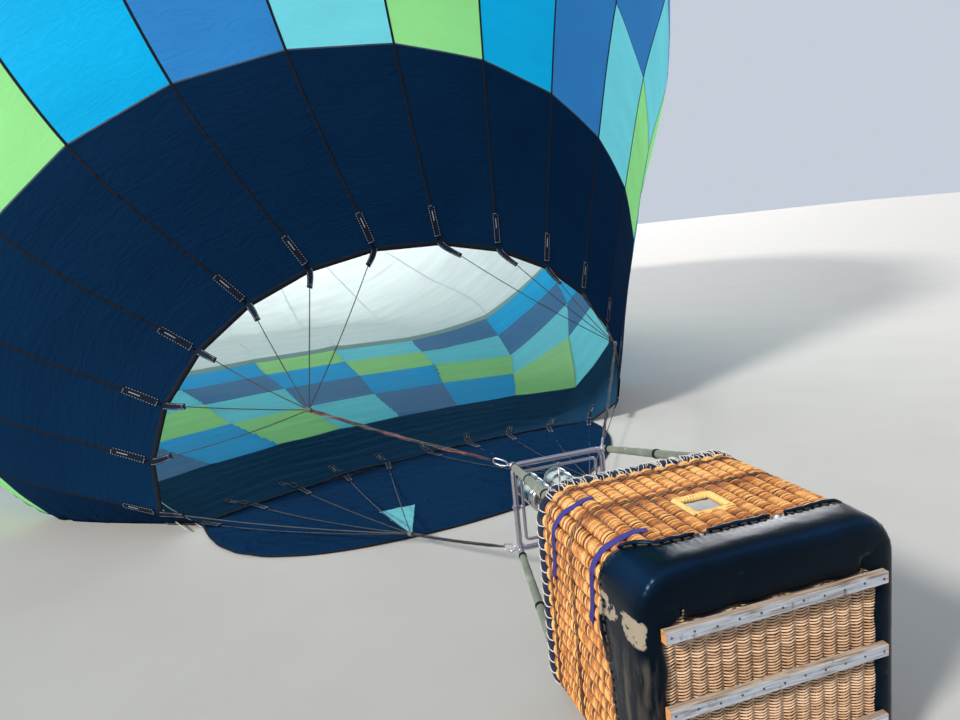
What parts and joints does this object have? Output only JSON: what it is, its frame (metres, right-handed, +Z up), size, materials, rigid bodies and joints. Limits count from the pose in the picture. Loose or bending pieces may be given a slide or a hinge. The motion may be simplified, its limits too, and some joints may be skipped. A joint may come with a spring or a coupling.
{
  "type": "hot air balloon laid out on its side while it is filled with cold air",
  "caption": "Small passenger hot air balloon lying on its side half filled, with a blue and green envelope, wire rigging, burner frame and a wicker basket tipped over.",
  "frame": {"origin": "on the ground in the middle of the mouth, where the air under the envelope holds it", "axes": "+Z up, +Y from the basket towards the envelope along the basket, +X to the right of that"},
  "size_m": [16.8242, 23.6762, 13.6997],
  "materials": {
    "navy_cloth": "dark navy coated nylon, low sheen",
    "cobalt_cloth": "cobalt ripstop nylon, thin enough to glow",
    "sky_cloth": "sky blue ripstop nylon, thin enough to glow",
    "sage_cloth": "grey green ripstop nylon",
    "pale_cloth": "white ripstop nylon",
    "tape_web": "dark woven load tape",
    "wire_rope": "sleeved steel wire rope",
    "wicker": "varnished honey cane weave",
    "wicker_floor": "paler woven cane",
    "hide": "glossy black hide, scuffed pale at the corners",
    "runner_wood": "weathered pale timber",
    "rim_suede": "navy suede over foam",
    "sleeve": "grey green padded sleeve",
    "frame_metal": "pale mauve grey powder coat",
    "burner_steel": "stainless steel",
    "tank_metal": "stainless steel cylinder"
  },
  "bodies": {
    "balloon": {"throat_band": "navy_cloth", "colour_row_1": "cobalt_cloth", "colour_row_2": "sky_cloth", "colour_row_3": "cobalt_cloth", "colour_row_4": "sky_cloth", "sage_band": "sage_cloth", "pale_band_lower": "pale_cloth", "pale_band_middle": "pale_cloth", "crown_band": "pale_cloth", "mouth_tape": "tape_web", "scoop": "navy_cloth", "crown_ring": "tape_web", "wires_upper_left": "wire_rope", "wires_upper_right": "wire_rope", "wires_lower_right": "wire_rope", "wires_lower_left": "wire_rope", "wall_ground": "wicker", "wall_left": "wicker", "wall_sky": "wicker", "wall_right": "wicker", "basket_floor": "wicker_floor", "hide_roll": "hide", "runner_1": "runner_wood", "runner_2": "runner_wood", "runner_3": "runner_wood", "rim_pad": "rim_suede", "fuel_cylinder_upper": "tank_metal", "fuel_cylinder_lower": "tank_metal", "upright_1": "sleeve", "upright_2": "sleeve", "upright_3": "sleeve", "upright_4": "sleeve", "burner_frame": "frame_metal", "carabiner_1": "burner_steel", "carabiner_2": "burner_steel", "carabiner_3": "burner_steel", "carabiner_4": "burner_steel"},
    "gimbal": {"gimbal_ring": "frame_metal"},
    "burners": {"burner_block": "burner_steel", "burner_left": "burner_steel", "burner_right": "burner_steel"},
    "vent": {"vent_disc": "pale_cloth"}
  },
  "joints": [
    {"name": "gimbal_tilt", "type": "hinge", "parent": "balloon", "child": "gimbal", "pos_m": [0.37, -3.62, 0.59], "axis": [1, 0, 0], "range_deg": [-18, 18]},
    {"name": "burner_swing", "type": "hinge", "parent": "gimbal", "child": "burners", "pos_m": [0.37, -3.62, 0.59], "axis": [0, 0, 1], "range_deg": [-18, 18]},
    {"name": "vent_slide", "type": "slide", "parent": "balloon", "child": "vent", "axis": [0.108, -0.9782, -0.1772], "range_m": [0, 1.2]}
  ]
}
